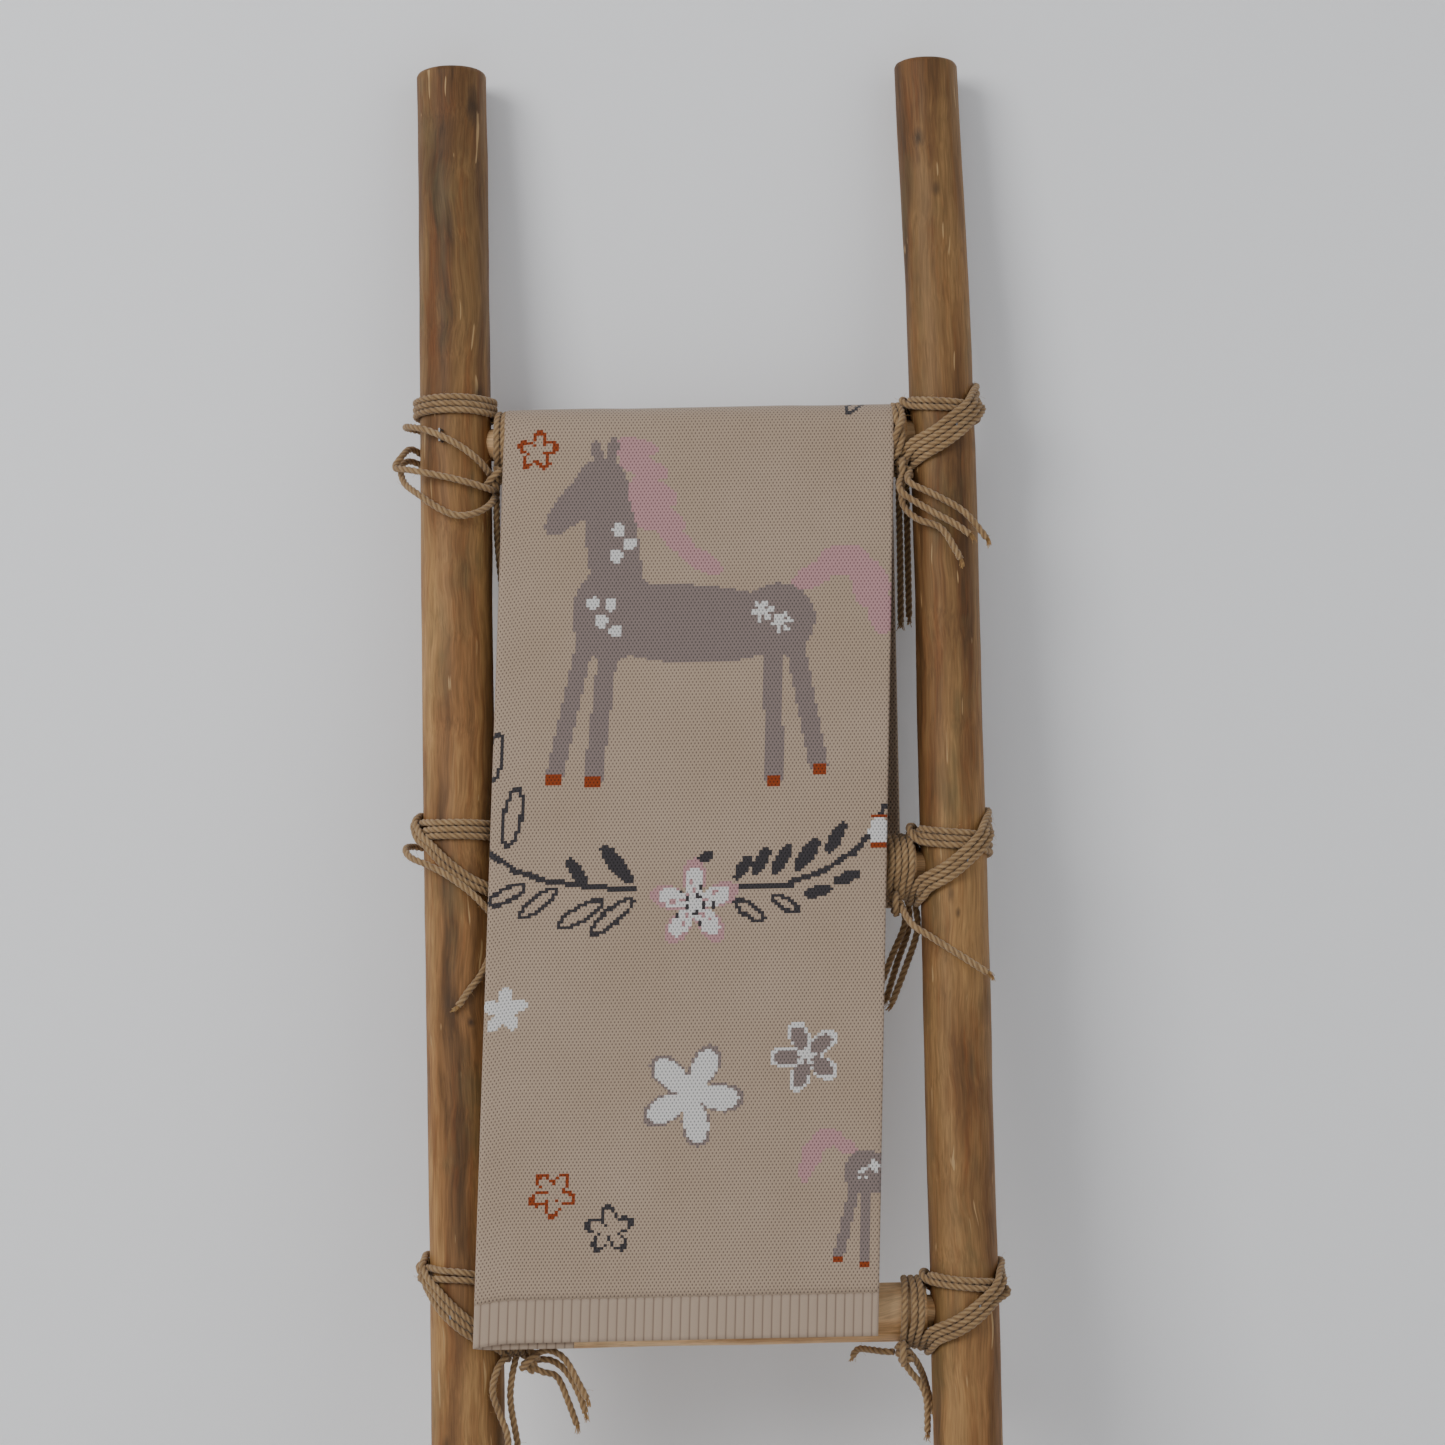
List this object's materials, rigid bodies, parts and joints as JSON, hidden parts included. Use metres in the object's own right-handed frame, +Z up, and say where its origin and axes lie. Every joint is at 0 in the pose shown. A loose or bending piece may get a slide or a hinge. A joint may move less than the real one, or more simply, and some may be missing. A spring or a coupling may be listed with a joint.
{
  "type": "blanket draped on a leaning pole ladder",
  "caption": "Rustic leaning ladder of round poles and lashed rungs with a folded jacquard-knit blanket draped over its top rung.",
  "frame": {"origin": "on the floor, midway between the two poles and midway through the ladder's depth", "axes": "+Z up, -Y towards the viewer in front of the blanket, +Y towards the wall the ladder leans on, +X to the viewer's right"},
  "size_m": [0.3963, 0.2447, 1.49],
  "materials": {
    "pole_wood": "satin",
    "rung_wood": "satin",
    "jute_twine": "matt",
    "screw_steel": "zinc plated",
    "staple_wire": "bright",
    "knitted_cotton": "matt",
    "ribbed_cotton": "matt"
  },
  "bodies": {
    "ladder": {"left_pole": "pole_wood", "right_pole": "pole_wood", "top_rung": "rung_wood", "second_rung": "rung_wood", "third_rung": "rung_wood", "bottom_rung": "rung_wood", "lashing_1_left": "jute_twine", "lashing_1_right": "jute_twine", "lashing_2_left": "jute_twine", "lashing_2_right": "jute_twine", "lashing_3_left": "jute_twine", "lashing_3_right": "jute_twine", "lashing_4_left": "jute_twine", "lashing_4_right": "jute_twine", "tenon_screws": "screw_steel", "twine_staples": "staple_wire", "tail_1_left_a": "jute_twine", "tail_1_right_a": "jute_twine", "tail_1_right_b": "jute_twine", "tail_1_right_c": "jute_twine", "tail_1_right_d": "jute_twine", "tail_1_right_e": "jute_twine", "tail_2_left_a": "jute_twine", "tail_2_right_a": "jute_twine", "tail_2_right_b": "jute_twine", "tail_2_right_c": "jute_twine", "tail_2_right_d": "jute_twine", "tail_3_left_a": "jute_twine", "tail_3_left_b": "jute_twine", "tail_3_left_c": "jute_twine", "tail_3_left_d": "jute_twine", "tail_3_left_e": "jute_twine", "tail_3_right_a": "jute_twine", "tail_3_right_b": "jute_twine", "tail_3_right_c": "jute_twine", "tail_4_left_a": "jute_twine", "tail_4_left_b": "jute_twine", "tail_4_right_a": "jute_twine", "tail_4_right_b": "jute_twine"},
    "blanket": {"blanket": "knitted_cotton", "front_hem": "ribbed_cotton", "back_hem": "ribbed_cotton"}
  },
  "joints": [
    {"name": "blanket_lift", "type": "slide", "parent": "ladder", "child": "blanket", "axis": [0, 0, 1], "range_m": [0, 0.36]}
  ]
}
